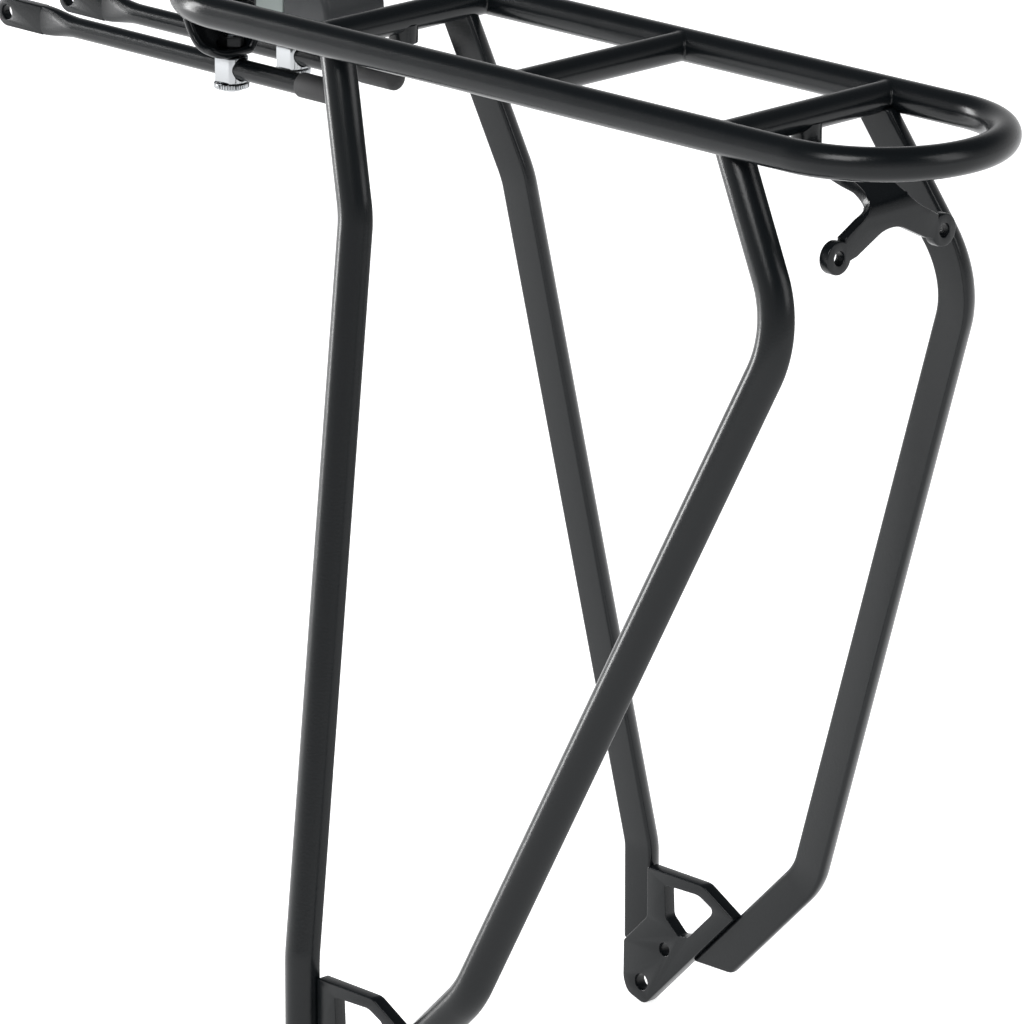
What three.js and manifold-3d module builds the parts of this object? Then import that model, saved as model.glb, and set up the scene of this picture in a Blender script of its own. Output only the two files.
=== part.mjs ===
// Rear pannier rack for a bicycle: a tubular platform on four bent legs, two
// foot plates that bolt to the frame at the axle, and two stays that reach
// forward to the seat stays and are held in swivelling eyes.
//
// Millimetres. +X points to the front of the bicycle, +Y to its left, +Z up.
// The origin is on the centre plane, on the line through the two foot holes.

import * as THREE from 'three';
import { mergeVertices } from 'three/addons/utils/BufferGeometryUtils.js';
import Module from 'manifold-3d';

const wasm = await Module();
wasm.setup();

// ---- driving dimensions -------------------------------------------------

const WELD_GAP = 0.3;

// Platform: one tube bent to a long loop, with three crossbars let into it.
const RAIL_Z = 360.4;
const RAIL_Y = 40.8;
const RAIL_R = 5.65;
const LOOP_REAR_X = -181.3;
const LOOP_FRONT_X = 88.7;
const CROSSBAR_R = 5.1;
const CROSSBAR_X = { front: 39.2, middle: -55.3, rear: -149.8 };

// Legs: D-section bar, flat side towards the wheel. The points follow the
// middle of the flat side of the left legs.
const LEG_WIDTH = 13.5;
const LEG_DEPTH = 8.5;
const LEG_CORNER = 1.5;
const LEG_TOP_Z = 357.6;
const LEG_BEND_R = 35;
const LEG_FOOT_BEND_R = 30;
const FRONT_LEG = [[42.9, 25.8, 360.1], [22.6, 36.0, 300.9], [4.6, 80.5, 49.8], [4.6, 80.5, 0]];
const REAR_LEG = [[-147.0, 31.0, 360.1], [-181.4, 40.1, 302.6], [-77.2, 80.5, 58.2], [-27.2, 80.5, 8.2]];
const REAR_LEG_END_Z = 13.6;

// Foot plates: flat plates between the two legs of a side.
const FOOT_T = 5;
const FOOT_INNER_Y = 78.2;
const FOOT_BEVEL = 0.4;
const FOOT_HOLE_R = 3.1;
const FOOT_UPPER_HOLE = [-11.4, 15.3];
const FOOT_UPPER_HOLE_R = 2.5;
const FOOT_SHOULDER = [[-2.6, 25.6], [9, 13.8]];

// Threaded bosses under the front and rear crossbars.
const BOSS_R = 5.1;
const BOSS_BORE_R = 2.8;
const FRONT_BOSS_Z = 351.9;
const REAR_BOSS_Z = 349.2;

// Rear lamp bracket: bent plate with two eyes 50 mm apart.
const LAMP_T = 4;
const LAMP_FACE_X = -188.4;
const LAMP_HOLE_Y = 25;
const LAMP_HOLE_Z = 324.4;
const LAMP_HOLE_R = 2.45;
const LAMP_EYE_R = 5.6;
const LAMP_TAB_Z = 346.9;
const LAMP_TAB_R = 9;
const LAMP_WASHER_R = 5;
const LAMP_WASHER_T = 1;
const LAMP_BOLT_HEAD_R = 4.4;
const LAMP_BOLT_HEAD_H = 2.8;

// Front plate: a dished sheet under the front bow with one foot per stay.
const SHEET_T = 3;
const TONGUE_T = 2.6;
const NUT_SEAT_DEPTH = 0.2;
const NUT_SEAT_R = 5.3;
const SHEET_REAR_X = 104.5;
const SHEET_HALF_WIDTH = 29;
const SHEET_FOOT_Z = 339.3;
const SHEET_ARCH_Z = 350.2;
const SHEET_RIM_Z = RAIL_Z - RAIL_R - SHEET_T / 2 - 0.35;

// Stays and the eyes that hold them.
const STAY_Y = 14.6;
const STAY_Z = 333.2;
const STAY_R = 3.65;
const STAY_REAR_X = 58.4;
const STAY_ROUND_END_X = 189;
const STAY_FLAT_START_X = 207;
const STAY_HOLE_X = 225.6;
const STAY_HOLE_R = 2.7;
const STAY_FLAT_T = 4;
const STAY_FLAT_H = 10.4;
const STAY_SIDES = 28;
const CAP_R = 4.4;
const CAP_X = [56.2, 74.2];
const EYE_X = 110;
const EYE_R = 5.8;
const EYE_HALF_FLATS = 4.6;
const EYE_Z = [328, 337.5];
const EYE_BORE_R = 3.8;
const STUD_R = 2.5;
const STUD_TOP_Z = 345.2;
const SCREW_RIM_R = 6.2;
const SCREW_TEETH = 30;
const SCREW_TOOTH_DEPTH = 0.45;
const NUT_R = 4.6;
const NUT_H = 3.6;

// Block on the centre line, on the tongue of the front plate.
const BLOCK_X = [62, 100];
const BLOCK_Z = [352, 371];
const BLOCK_HALF_WIDTH = 14;
const BLOCK_SCREW_X = [68, 78];
const BLOCK_SCREW_HOLE_R = 1.8;
const POCKET_X = [84, 98];
const POCKET_Z = [355, 368];
const INLAY_HALF_WIDTH = BLOCK_HALF_WIDTH + 0.3;
const TONGUE_HALF_WIDTH = 8;

// ---- materials ----------------------------------------------------------

const finish = (color, metalness, roughness) => ({ color, metalness, roughness });
const FINISHES = {
  black_coat: finish(0x23282c, 0.3, 0.45),
  black_screw: finish(0x1b1d1f, 0.6, 0.4),
  chrome: finish(0xd8dbde, 1, 0.12),
  rubber: finish(0x1c1d1e, 0, 0.75),
  moulding: finish(0x202325, 0, 0.6),
  pale_moulding: finish(0xb9c2bd, 0, 0.5),
};

// ---- solid helpers ------------------------------------------------------

function toSolid(geometry) {
  const bare = geometry.clone();
  bare.deleteAttribute('normal');
  bare.deleteAttribute('uv');
  const merged = mergeVertices(bare, 1e-4);
  const mesh = new wasm.Mesh({
    numProp: 3,
    vertProperties: new Float32Array(merged.attributes.position.array),
    triVerts: new Uint32Array(merged.index.array),
  });
  return new wasm.Manifold(mesh);
}

function toGeometry(solid) {
  const mesh = solid.getMesh();
  const geometry = new THREE.BufferGeometry();
  const positions = new Float32Array(mesh.vertProperties);
  geometry.setAttribute('position', new THREE.BufferAttribute(positions, 3));
  geometry.setIndex(new THREE.BufferAttribute(new Uint32Array(mesh.triVerts), 1));
  geometry.computeVertexNormals();
  return geometry;
}

const mirrored = (solid) => solid.mirror([0, 1, 0]);

// A polygon [[x, y, cornerRadius], ...] as a shape with rounded corners.
function roundedShape(points) {
  const shape = new THREE.Shape();
  points.forEach(([x, y, r = 0], i) => {
    const corner = new THREE.Vector2(x, y);
    const before = points.at(i - 1);
    const after = points[(i + 1) % points.length];
    const back = new THREE.Vector2(before[0], before[1]).sub(corner).setLength(r).add(corner);
    const on = new THREE.Vector2(after[0], after[1]).sub(corner).setLength(r).add(corner);
    if (i === 0) {
      shape.moveTo(back.x, back.y);
    } else {
      shape.lineTo(back.x, back.y);
    }
    if (r > 0) {
      shape.quadraticCurveTo(x, y, on.x, on.y);
    }
  });
  shape.closePath();
  return shape;
}

// A shape drawn in X and Z, given thickness from yLow to yHigh.
function plateXZ(shape, yLow, yHigh, bevel = 0) {
  const geometry = new THREE.ExtrudeGeometry(shape, {
    depth: yHigh - yLow - 2 * bevel,
    curveSegments: 4,
    bevelEnabled: bevel > 0,
    bevelThickness: bevel,
    bevelSize: bevel,
    bevelOffset: -bevel,
    bevelSegments: 1,
  });
  geometry.rotateX(Math.PI / 2);
  geometry.translate(0, yHigh - bevel, 0);
  return toSolid(geometry);
}

// A shape drawn in Y and Z, given thickness from xLow to xHigh.
function plateYZ(shape, xLow, xHigh) {
  const geometry = new THREE.ExtrudeGeometry(shape, {
    depth: xHigh - xLow,
    curveSegments: 6,
    bevelEnabled: false,
  });
  const basis = new THREE.Matrix4().makeBasis(
    new THREE.Vector3(0, 1, 0),
    new THREE.Vector3(0, 0, 1),
    new THREE.Vector3(1, 0, 0),
  );
  geometry.applyMatrix4(basis);
  geometry.translate(xLow, 0, 0);
  return toSolid(geometry);
}

// A shape drawn in X and Y, given thickness from zLow to zHigh.
function plateXY(shape, zLow, zHigh) {
  const geometry = new THREE.ExtrudeGeometry(shape, {
    depth: zHigh - zLow,
    curveSegments: 6,
    bevelEnabled: false,
  });
  geometry.translate(0, 0, zLow);
  return toSolid(geometry);
}

function box(xs, ys, zs) {
  const geometry = new THREE.BoxGeometry(xs[1] - xs[0], ys[1] - ys[0], zs[1] - zs[0]);
  geometry.translate((xs[0] + xs[1]) / 2, (ys[0] + ys[1]) / 2, (zs[0] + zs[1]) / 2);
  return toSolid(geometry);
}

function rodZ(x, y, r, zLow, zHigh, segments = 24) {
  const geometry = new THREE.CylinderGeometry(r, r, zHigh - zLow, segments);
  geometry.rotateX(Math.PI / 2);
  geometry.translate(x, y, (zLow + zHigh) / 2);
  return toSolid(geometry);
}

function rodY(x, z, r, yLow, yHigh, segments = 24) {
  const geometry = new THREE.CylinderGeometry(r, r, yHigh - yLow, segments);
  geometry.translate(x, (yLow + yHigh) / 2, z);
  return toSolid(geometry);
}

function rodX(y, z, r, xLow, xHigh, segments = 24) {
  const geometry = new THREE.CylinderGeometry(r, r, xHigh - xLow, segments);
  geometry.rotateZ(Math.PI / 2);
  geometry.translate((xLow + xHigh) / 2, y, z);
  return toSolid(geometry);
}

// A turned piece: profile of [radius, height] from axis to axis, along +Z.
function turned(profile, segments = 24) {
  const points = profile.map(([r, h]) => new THREE.Vector2(r, h));
  const geometry = new THREE.LatheGeometry(points, segments);
  geometry.rotateX(Math.PI / 2);
  return toSolid(geometry);
}

// A skin through rings of points, all with the same number of points.
function skin(rings, closed) {
  const count = rings[0].length;
  const positions = rings.flat().flatMap((p) => [p.x, p.y, p.z]);
  const index = [];
  const spans = closed ? rings.length : rings.length - 1;
  for (let i = 0; i < spans; i += 1) {
    const a = i * count;
    const b = ((i + 1) % rings.length) * count;
    for (let k = 0; k < count; k += 1) {
      const n = (k + 1) % count;
      index.push(a + k, a + n, b + n, a + k, b + n, b + k);
    }
  }
  if (!closed) {
    const last = (rings.length - 1) * count;
    for (let k = 1; k < count - 1; k += 1) {
      index.push(0, k + 1, k, last, last + k, last + k + 1);
    }
  }
  const geometry = new THREE.BufferGeometry();
  geometry.setAttribute('position', new THREE.Float32BufferAttribute(positions, 3));
  geometry.setIndex(index);
  return toSolid(geometry);
}

// Stations along a polyline whose corners are rounded to the given radii.
function bentPath(corners, radii, steps) {
  const points = corners.map((c) => new THREE.Vector3(...c));
  const legs = points.slice(1).map((p, i) => p.clone().sub(points[i]).normalize());
  const stations = [{ at: points[0], along: legs[0] }];
  for (let i = 1; i < points.length - 1; i += 1) {
    const from = legs[i - 1];
    const to = legs[i];
    const angle = from.angleTo(to);
    const radius = radii[i - 1];
    const inward = to.clone().addScaledVector(from, -Math.cos(angle)).normalize();
    const start = points[i].clone().addScaledVector(from, -radius * Math.tan(angle / 2));
    for (let k = 0; k <= steps; k += 1) {
      const turn = (angle * k) / steps;
      const at = start.clone().addScaledVector(from, radius * Math.sin(turn));
      at.addScaledVector(inward, radius * (1 - Math.cos(turn)));
      const along = from.clone().multiplyScalar(Math.cos(turn));
      along.addScaledVector(inward, Math.sin(turn));
      stations.push({ at, along });
    }
  }
  stations.push({ at: points.at(-1), along: legs.at(-1) });
  return stations;
}

// ---- platform -----------------------------------------------------------

// The loop's centre line, anticlockwise seen from above.
function loopStations(steps) {
  const stations = [];
  for (let k = 0; k <= steps; k += 1) {
    const turn = -Math.PI / 2 + (Math.PI * k) / steps;
    stations.push({ x: LOOP_FRONT_X, turn });
  }
  for (let k = 0; k <= steps; k += 1) {
    const turn = Math.PI / 2 + (Math.PI * k) / steps;
    stations.push({ x: LOOP_REAR_X, turn });
  }
  return stations;
}

function platformLoop(radius, segments = 22, steps = 18) {
  const rings = loopStations(steps).map(({ x, turn }) => {
    const outward = new THREE.Vector3(Math.cos(turn), Math.sin(turn), 0);
    const centre = new THREE.Vector3(x, 0, RAIL_Z).addScaledVector(outward, RAIL_Y);
    return Array.from({ length: segments }, (_, k) => {
      const a = (2 * Math.PI * k) / segments;
      const point = centre.clone().addScaledVector(outward, radius * Math.cos(a));
      point.z -= radius * Math.sin(a);
      return point;
    });
  });
  return skin(rings, true);
}

const loop = platformLoop(RAIL_R);
const loopClearance = platformLoop(RAIL_R + WELD_GAP);

const crossbar = (x) => rodY(x, RAIL_Z, CROSSBAR_R, -RAIL_Y, RAIL_Y).subtract(loopClearance);
const crossbarClearance = (x) => rodY(x, RAIL_Z, CROSSBAR_R + WELD_GAP, -RAIL_Y, RAIL_Y);

// ---- legs ---------------------------------------------------------------

// D-section as [across the leg, away from the wheel], anticlockwise.
function legSection() {
  const half = LEG_WIDTH / 2;
  const shape = new THREE.Shape();
  shape.moveTo(-half + LEG_CORNER, 0);
  shape.lineTo(half - LEG_CORNER, 0);
  shape.quadraticCurveTo(half, 0, half, LEG_CORNER);
  shape.absellipse(0, LEG_CORNER, half, LEG_DEPTH - LEG_CORNER, 0, Math.PI);
  shape.quadraticCurveTo(-half, 0, -half + LEG_CORNER, 0);
  const points = shape.getPoints(6);
  return points.filter((p, i) => i === 0 || p.distanceTo(points[i - 1]) > 0.01).slice(0, -1);
}

function leg(corners) {
  const section = legSection();
  const radii = [LEG_BEND_R, LEG_FOOT_BEND_R];
  const rings = bentPath(corners, radii, 6).map(({ at, along }) => {
    const away = new THREE.Vector3(0, 1, 0).addScaledVector(along, -along.y).normalize();
    const across = away.clone().cross(along);
    return section.map((p) => at.clone().addScaledVector(across, p.x).addScaledVector(away, p.y));
  });
  return skin(rings, false);
}

const everywhere = [-400, 400];
const aboveLegs = box(everywhere, everywhere, [LEG_TOP_Z, 400]);
const belowRearLegs = box(everywhere, everywhere, [-60, REAR_LEG_END_Z]);
const belowShoulder = plateXZ(
  roundedShape([
    [-30, 60],
    [-30, -30],
    [30, -30],
    [30, FOOT_SHOULDER[1][1] + WELD_GAP],
    [FOOT_SHOULDER[1][0] + WELD_GAP, FOOT_SHOULDER[1][1] + WELD_GAP],
    [FOOT_SHOULDER[0][0] + WELD_GAP, FOOT_SHOULDER[0][1] + WELD_GAP],
    [FOOT_SHOULDER[0][0] + WELD_GAP, 60],
  ]),
  60,
  110,
);

const frontLeg = leg(FRONT_LEG)
  .subtract(aboveLegs)
  .subtract(crossbarClearance(CROSSBAR_X.front))
  .subtract(loopClearance)
  .subtract(belowShoulder);
const rearLeg = leg(REAR_LEG)
  .subtract(aboveLegs)
  .subtract(crossbarClearance(CROSSBAR_X.rear))
  .subtract(loopClearance)
  .subtract(belowRearLegs);

// ---- foot plates --------------------------------------------------------

function footPlate() {
  const outline = roundedShape([
    [FOOT_SHOULDER[0][0], 44.4, 1],
    [-30.2, 44.0, 1.5],
    [-44.7, 35.75, 0.9],
    [-1.0, -7.95, 2.5],
    [7.2, -5.4, 2.4],
    [9.2, -0.5, 1.2],
    [FOOT_SHOULDER[1][0], FOOT_SHOULDER[1][1], 1],
    [FOOT_SHOULDER[0][0], FOOT_SHOULDER[0][1], 1],
  ]);
  const window = roundedShape([
    [-11.4, 39.6, 0.8],
    [-28.0, 39.9, 1.5],
    [-34.8, 36.4, 1.1],
    [-34.4, 34.2, 1],
    [-23.2, 23.0, 1],
    [-18.0, 22.0, 1],
    [-11.9, 27.6, 1],
  ]);
  const outer = FOOT_INNER_Y + FOOT_T;
  const reach = [FOOT_INNER_Y - 1, outer + 1];
  return plateXZ(outline, FOOT_INNER_Y, outer, FOOT_BEVEL)
    .subtract(plateXZ(window, ...reach))
    .subtract(rodY(0, 0, FOOT_HOLE_R, ...reach, 32))
    .subtract(rodY(...FOOT_UPPER_HOLE, FOOT_UPPER_HOLE_R, ...reach));
}

// ---- bosses and lamp bracket --------------------------------------------

function boss(x, zLow) {
  return rodZ(x, 0, BOSS_R, zLow, RAIL_Z)
    .subtract(rodZ(x, 0, BOSS_BORE_R, zLow - 1, RAIL_Z - CROSSBAR_R - 1.8))
    .subtract(crossbarClearance(x));
}

function lampBracket() {
  const mid = LAMP_FACE_X + LAMP_T / 2;
  const half = LAMP_T / 2;
  const sideView = roundedShape([
    [mid - half, 310],
    [mid + half, 310],
    [mid + half, 336.4, 2],
    [-177.4, 341.1, 3],
    [-165.6, LAMP_TAB_Z - half, 3],
    [-140, LAMP_TAB_Z - half],
    [-140, LAMP_TAB_Z + half],
    [-166.4, LAMP_TAB_Z + half, 4],
    [-179.6, 344.9, 4],
    [mid - half, 338.6, 3],
  ]);
  const rearView = roundedShape([
    [10, 355],
    [-10, 355],
    [-9, 345, 3],
    [-7.2, 340.2, 3],
    [-9.6, 337.6, 2],
    [-22.2, 330.4],
    [-22.2, 322],
    [-16.4, 323.4],
    [-3.6, 329.9, 2.5],
    [3.6, 329.9, 2.5],
    [16.4, 323.4],
    [22.2, 322],
    [22.2, 330.4],
    [9.6, 337.6, 2],
    [7.2, 340.2, 3],
    [9, 345, 3],
  ]);
  const topView = new THREE.Shape();
  topView.moveTo(-200, -40);
  topView.lineTo(-170, -40);
  topView.lineTo(CROSSBAR_X.rear, -LAMP_TAB_R);
  topView.absarc(CROSSBAR_X.rear, 0, LAMP_TAB_R, -Math.PI / 2, Math.PI / 2);
  topView.lineTo(-170, 40);
  topView.lineTo(-200, 40);
  topView.closePath();
  let bracket = plateXZ(sideView, -40, 40)
    .intersect(plateYZ(rearView, -200, -130))
    .intersect(plateXY(topView, 300, 360));
  for (const y of [LAMP_HOLE_Y, -LAMP_HOLE_Y]) {
    bracket = bracket
      .add(rodX(y, LAMP_HOLE_Z, LAMP_EYE_R, LAMP_FACE_X, LAMP_FACE_X + LAMP_T))
      .subtract(rodX(y, LAMP_HOLE_Z, LAMP_HOLE_R, LAMP_FACE_X - 1, LAMP_FACE_X + LAMP_T + 1));
  }
  return bracket.subtract(rodZ(CROSSBAR_X.rear, 0, BOSS_BORE_R, 330, 360));
}

// The washer and the bolt that hold the bracket up against the rear boss.
const tabBottom = LAMP_TAB_Z - LAMP_T / 2;
const washerTop = tabBottom - 0.1;
const washerBottom = washerTop - LAMP_WASHER_T;
const lampWasher = rodZ(CROSSBAR_X.rear, 0, LAMP_WASHER_R, washerBottom, washerTop)
  .subtract(rodZ(CROSSBAR_X.rear, 0, BOSS_BORE_R, washerBottom - 1, washerTop + 1));

const boltSeat = washerBottom - 0.1;
const boltBottom = boltSeat - LAMP_BOLT_HEAD_H;
const boltTip = REAR_BOSS_Z + 4.2;
const lampBolt = turned([
  [0, boltBottom],
  [LAMP_BOLT_HEAD_R - 1, boltBottom],
  [LAMP_BOLT_HEAD_R, boltBottom + 1.4],
  [LAMP_BOLT_HEAD_R, boltSeat],
  [STUD_R, boltSeat],
  [STUD_R, boltTip],
  [0, boltTip],
])
  .translate([CROSSBAR_X.rear, 0, 0])
  .subtract(rodZ(CROSSBAR_X.rear, 0, 1.8, boltBottom - 1, boltBottom + 2.2, 6));

// ---- front plate --------------------------------------------------------

const smooth = (t) => t * t * (3 - 2 * t);

// Height of the sheet's middle at its rear edge: an arch between two feet.
function rearEdgeZ(y) {
  const side = Math.abs(y);
  if (side < 10) {
    const rise = smooth(Math.min((10 - side) / 7, 1));
    return SHEET_FOOT_Z + (SHEET_ARCH_Z - SHEET_FOOT_Z) * rise;
  }
  const flare = Math.max((side - 19.5) / 9.5, 0);
  return SHEET_FOOT_Z + 3 * flare * flare;
}

function dishedSheet() {
  const lengthSteps = 8;
  const widthSteps = 28;
  const surface = (offset) => (i, j) => {
    const y = SHEET_HALF_WIDTH * ((2 * j) / widthSteps - 1);
    const frontX = LOOP_FRONT_X + Math.sqrt(RAIL_Y ** 2 - y ** 2);
    const s = i / lengthSteps;
    const rearZ = rearEdgeZ(y);
    const z = rearZ + (SHEET_RIM_Z - rearZ) * s ** 3.2;
    return new THREE.Vector3(SHEET_REAR_X + (frontX - SHEET_REAR_X) * s, y, z + offset);
  };
  const top = surface(SHEET_T / 2);
  const bottom = surface(-SHEET_T / 2);
  const rings = Array.from({ length: widthSteps + 1 }, (_, j) => {
    const upper = Array.from({ length: lengthSteps + 1 }, (__, i) => top(i, j));
    const lower = Array.from({ length: lengthSteps + 1 }, (__, i) => bottom(lengthSteps - i, j));
    return [...upper, ...lower];
  });
  return skin(rings, false);
}

function frontPlate() {
  const tongue = box(
    [BLOCK_X[0] - 1, SHEET_REAR_X + 3],
    [-TONGUE_HALF_WIDTH, TONGUE_HALF_WIDTH],
    [SHEET_ARCH_Z - TONGUE_T / 2, SHEET_ARCH_Z + TONGUE_T / 2],
  );
  let plate = dishedSheet().add(tongue);
  const seat = SHEET_FOOT_Z + SHEET_T / 2 - NUT_SEAT_DEPTH;
  for (const y of [STAY_Y, -STAY_Y]) {
    plate = plate
      .subtract(rodZ(EYE_X, y, NUT_SEAT_R, seat, seat + 12))
      .subtract(rodZ(EYE_X, y, STUD_R + 0.3, 330, 350));
  }
  for (const x of BLOCK_SCREW_X) {
    plate = plate.subtract(rodZ(x, 0, BLOCK_SCREW_HOLE_R, 340, 360));
  }
  return plate;
}

// ---- centre block -------------------------------------------------------

function blockBody() {
  const sideView = roundedShape([
    [BLOCK_X[0], BLOCK_Z[0], 4],
    [BLOCK_X[1], BLOCK_Z[0], 3],
    [BLOCK_X[1], BLOCK_Z[1], 4],
    [BLOCK_X[0] + 6, BLOCK_Z[1], 5],
    [BLOCK_X[0], BLOCK_Z[0] + 10, 4],
  ]);
  const pocket = box(POCKET_X, [-20, 20], POCKET_Z);
  let body = plateXZ(sideView, -BLOCK_HALF_WIDTH, BLOCK_HALF_WIDTH, 0.8).subtract(pocket);
  for (const x of BLOCK_SCREW_X) {
    body = body.subtract(rodZ(x, 0, BLOCK_SCREW_HOLE_R, 350, 360));
  }
  return body;
}

// A paler bar through the block, seen as a flat panel on each side.
const blockInlay = box(
  [POCKET_X[0] + WELD_GAP, POCKET_X[1] - WELD_GAP],
  [-INLAY_HALF_WIDTH, INLAY_HALF_WIDTH],
  [POCKET_Z[0] + WELD_GAP, POCKET_Z[1] - WELD_GAP],
);

function blockScrew(x) {
  const seat = SHEET_ARCH_Z - TONGUE_T / 2 - 0.1;
  return turned([
    [0, seat - 2],
    [2.2, seat - 2],
    [3.1, seat - 1],
    [3.1, seat],
    [1.5, seat],
    [1.5, BLOCK_Z[0] + 7],
    [0, BLOCK_Z[0] + 7],
  ])
    .translate([x, 0, 0])
    .subtract(rodZ(x, 0, 1.1, seat - 4, seat - 0.8, 6));
}

// ---- stays, end caps and eyes -------------------------------------------

function stay() {
  const sections = [
    [STAY_REAR_X, 0],
    [STAY_ROUND_END_X, 0],
    [STAY_ROUND_END_X + 4, 0.1],
    [STAY_ROUND_END_X + 9, 0.5],
    [STAY_ROUND_END_X + 14, 0.9],
    [STAY_FLAT_START_X, 1],
    [STAY_HOLE_X - 8, 1],
  ];
  const power = (value, exponent) => Math.sign(value) * Math.abs(value) ** exponent;
  const rings = sections.map(([x, flat]) => {
    const halfY = THREE.MathUtils.lerp(STAY_R, STAY_FLAT_T / 2, flat);
    const halfZ = THREE.MathUtils.lerp(STAY_R, STAY_FLAT_H / 2, flat);
    const exponent = 1 - 0.45 * flat;
    return Array.from({ length: STAY_SIDES }, (_, k) => {
      const a = (2 * Math.PI * (k + 0.5)) / STAY_SIDES;
      const y = halfY * power(Math.cos(a), exponent);
      const z = halfZ * power(Math.sin(a), exponent);
      return new THREE.Vector3(x, STAY_Y + y, STAY_Z + z);
    });
  });
  const end = new THREE.Shape();
  end.moveTo(STAY_FLAT_START_X + 1, STAY_Z - STAY_FLAT_H / 2);
  end.absarc(STAY_HOLE_X, STAY_Z, STAY_FLAT_H / 2, -Math.PI / 2, Math.PI / 2);
  end.lineTo(STAY_FLAT_START_X + 1, STAY_Z + STAY_FLAT_H / 2);
  end.closePath();
  const faces = [STAY_Y - STAY_FLAT_T / 2, STAY_Y + STAY_FLAT_T / 2];
  return skin(rings, false)
    .add(plateXZ(end, ...faces))
    .subtract(rodY(STAY_HOLE_X, STAY_Z, STAY_HOLE_R, faces[0] - 1, faces[1] + 1));
}

// A hollow cap pushed over the rear end of a stay.
function stayCap() {
  const [rear, front] = CAP_X;
  const bore = STAY_R + 0.2;
  const profile = [
    [0, rear],
    [2.2, rear],
    [3.7, rear + 0.7],
    [CAP_R, rear + 2.4],
    [CAP_R, front - 2.5],
    [CAP_R - 0.25, front],
    [bore, front],
    [bore, STAY_REAR_X - 0.3],
    [0, STAY_REAR_X - 0.3],
  ];
  return turned(profile)
    .rotate([0, 90, 0])
    .translate([0, STAY_Y, STAY_Z]);
}

function stayEye() {
  const [low, high] = EYE_Z;
  const body = turned([
    [0, low],
    [EYE_R, low],
    [EYE_R, high - 1.2],
    [EYE_R - 1.2, high],
    [0, high],
  ], 32).translate([EYE_X, STAY_Y, 0]);
  const flats = box([EYE_X - 10, EYE_X + 10],
    [STAY_Y - EYE_HALF_FLATS, STAY_Y + EYE_HALF_FLATS], [low - 1, high + 1]);
  return body
    .intersect(flats)
    .add(rodZ(EYE_X, STAY_Y, STUD_R, high - 1, STUD_TOP_Z))
    .subtract(rodX(STAY_Y, STAY_Z, EYE_BORE_R, EYE_X - 10, EYE_X + 10, 32))
    .subtract(rodZ(EYE_X, STAY_Y, 2.3, low - 1, STAY_Z));
}

// Clamping screw under the eye, with a serrated rim.
function eyeScrew() {
  const rim = new THREE.Shape();
  for (let k = 0; k < 2 * SCREW_TEETH; k += 1) {
    const a = (Math.PI * k) / SCREW_TEETH;
    const r = k % 2 === 0 ? SCREW_RIM_R : SCREW_RIM_R - SCREW_TOOTH_DEPTH;
    const point = [EYE_X + r * Math.cos(a), STAY_Y + r * Math.sin(a)];
    if (k === 0) {
      rim.moveTo(...point);
    } else {
      rim.lineTo(...point);
    }
  }
  rim.closePath();
  const headTop = EYE_Z[0] - 0.2;
  return plateXY(rim, headTop - 1.7, headTop)
    .add(rodZ(EYE_X, STAY_Y, 4.2, headTop - 2.6, headTop - 1))
    .add(rodZ(EYE_X, STAY_Y, 2, headTop - 1, STAY_Z - STAY_R - 0.2))
    .subtract(rodZ(EYE_X, STAY_Y, 1.8, headTop - 5, headTop - 1, 6));
}

function eyeNut() {
  const seat = SHEET_FOOT_Z + SHEET_T / 2 + 0.1;
  const hexagon = rodZ(EYE_X, STAY_Y, NUT_R, seat, seat + NUT_H, 6);
  return hexagon.subtract(rodZ(EYE_X, STAY_Y, STUD_R + 0.2, seat - 1, seat + 5));
}

// ---- assembly -----------------------------------------------------------

const rack = new THREE.Group();
rack.name = 'pannier_rack';

function addPart(name, solid, finishName) {
  const mesh = new THREE.Mesh(
    toGeometry(solid),
    new THREE.MeshStandardMaterial({ ...FINISHES[finishName], name: finishName }),
  );
  mesh.name = name;
  rack.add(mesh);
}

function addPair(name, solid, finishName) {
  addPart(`${name}_left`, solid, finishName);
  addPart(`${name}_right`, mirrored(solid), finishName);
}

addPart('platform_loop', loop, 'black_coat');
addPart('crossbar_front', crossbar(CROSSBAR_X.front), 'black_coat');
addPart('crossbar_middle', crossbar(CROSSBAR_X.middle), 'black_coat');
addPart('crossbar_rear', crossbar(CROSSBAR_X.rear), 'black_coat');
addPair('leg_front', frontLeg, 'black_coat');
addPair('leg_rear', rearLeg, 'black_coat');
addPair('foot_plate', footPlate(), 'black_coat');
addPart('boss_front', boss(CROSSBAR_X.front, FRONT_BOSS_Z), 'black_coat');
addPart('boss_rear', boss(CROSSBAR_X.rear, REAR_BOSS_Z), 'black_coat');
addPart('lamp_bracket', lampBracket(), 'black_coat');
addPart('lamp_bracket_washer', lampWasher, 'black_screw');
addPart('lamp_bracket_bolt', lampBolt, 'black_screw');
addPart('front_plate', frontPlate(), 'black_coat');
addPart('centre_block', blockBody(), 'moulding');
addPart('centre_block_inlay', blockInlay, 'pale_moulding');
addPart('centre_block_screw_rear', blockScrew(BLOCK_SCREW_X[0]), 'black_screw');
addPart('centre_block_screw_front', blockScrew(BLOCK_SCREW_X[1]), 'black_screw');
addPair('stay', stay(), 'black_coat');
addPair('stay_cap', stayCap(), 'rubber');
addPair('stay_eye', stayEye(), 'chrome');
addPair('eye_screw', eyeScrew(), 'chrome');
addPair('eye_nut', eyeNut(), 'black_screw');

export default rack;
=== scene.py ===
# Visual model of a bicycle rear pannier rack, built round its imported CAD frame.
#
# The driving dimensions below are in millimetres, in the frame's own axes: +X to
# the front of the bicycle, +Y to its left, +Z up. Meshes are made in metres.

import math

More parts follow.
